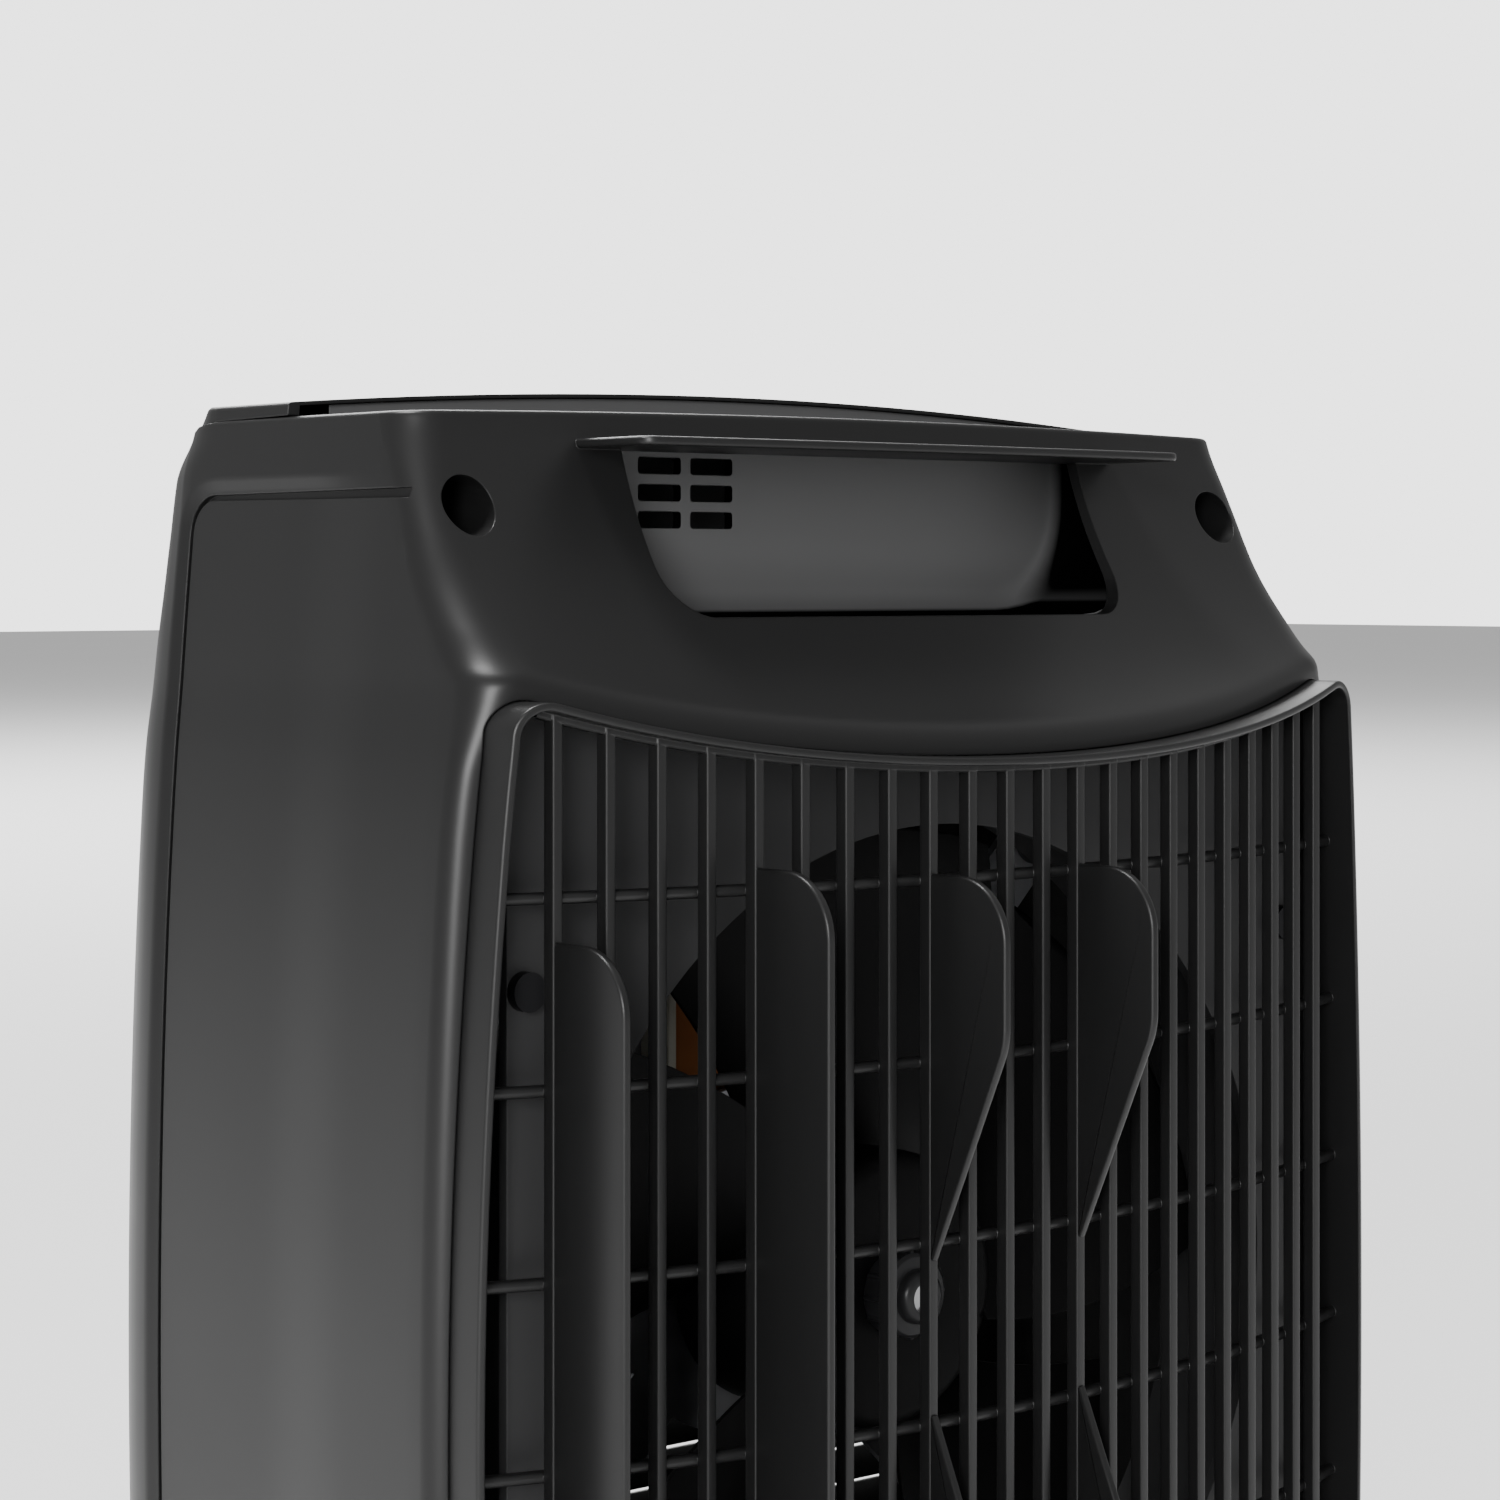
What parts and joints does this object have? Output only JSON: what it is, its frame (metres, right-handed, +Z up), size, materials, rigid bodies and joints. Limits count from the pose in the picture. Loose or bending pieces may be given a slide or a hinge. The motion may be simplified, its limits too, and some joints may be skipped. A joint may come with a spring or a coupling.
{
  "type": "box fan",
  "caption": "Compact box fan: moulded casing with a carrying pocket, bowed rear grille with cord-wrap fins, axial fan on a small motor, and a rotary speed knob.",
  "frame": {"origin": "on the surface the fan stands on, under the middle of its bounding box", "axes": "+Z up, front (air outlet and knob) faces -Y, rear grille faces +Y, +X is the right-hand side seen from the front"},
  "size_m": [0.2016, 0.1396, 0.2658],
  "materials": {
    "casing": "satin, finely spark-eroded black ABS",
    "grille": "satin black polypropylene",
    "inner_moulding": "satin black polypropylene",
    "pocket": "satin dark grey ABS",
    "panel": "fine-grained dark grey ABS",
    "knob": "satin black ABS",
    "blade": "semi-gloss black polypropylene",
    "switch_resin": "moulded phenolic resin",
    "bobbin_nylon": "natural nylon",
    "enamelled_wire": "enamelled copper winding",
    "copper": "bare copper",
    "bronze": "sintered bronze",
    "die_cast": "zinc die casting",
    "lamination": "varnished steel laminations",
    "bright_steel": "ground steel",
    "zinc_steel": "zinc-plated steel",
    "pressed_steel": "galvanised pressed sheet",
    "gland_rubber": "black moulded PVC",
    "foot_rubber": "black rubber",
    "lead_grey": "PVC insulation",
    "lead_red": "PVC insulation"
  },
  "bodies": {
    "casing": {"rear_shell": "casing", "front_bezel": "casing", "front_grille": "grille", "rear_grille": "grille", "cord_fins": "grille", "inlet_shroud": "inner_moulding", "handle_pocket": "pocket", "control_cover": "pocket", "control_panel": "panel", "rotary_switch": "switch_resin", "switch_nut": "zinc_steel", "stator_core": "lamination", "shading_rings": "copper", "coil_bobbin": "bobbin_nylon", "motor_coil": "enamelled_wire", "rear_bearing_bracket": "die_cast", "front_bearing_bracket": "die_cast", "rear_bushing": "bronze", "front_bushing": "bronze", "motor_screws": "zinc_steel", "motor_nuts": "zinc_steel", "motor_spider": "pressed_steel", "spider_screws": "zinc_steel", "shroud_screws": "zinc_steel", "case_screws": "zinc_steel", "terminal_block": "bobbin_nylon", "cord_gland": "gland_rubber", "switch_leads": "lead_grey", "motor_leads": "lead_red", "rubber_feet": "foot_rubber"},
    "rotor": {"fan_blade": "blade", "hub_nut": "knob", "motor_shaft": "bright_steel", "rotor_core": "lamination", "thrust_washers": "bobbin_nylon"},
    "knob": {"speed_knob": "knob", "switch_shaft": "zinc_steel"}
  },
  "joints": [
    {"name": "fan_spin", "type": "hinge", "parent": "casing", "child": "rotor", "pos_m": [0, 0, 0.116], "axis": [0, 1, 0], "continuous": true},
    {"name": "knob_turn", "type": "hinge", "parent": "casing", "child": "knob", "pos_m": [0, -0.06, 0.2325], "axis": [0, 1, 0], "range_deg": [0, 135]}
  ]
}
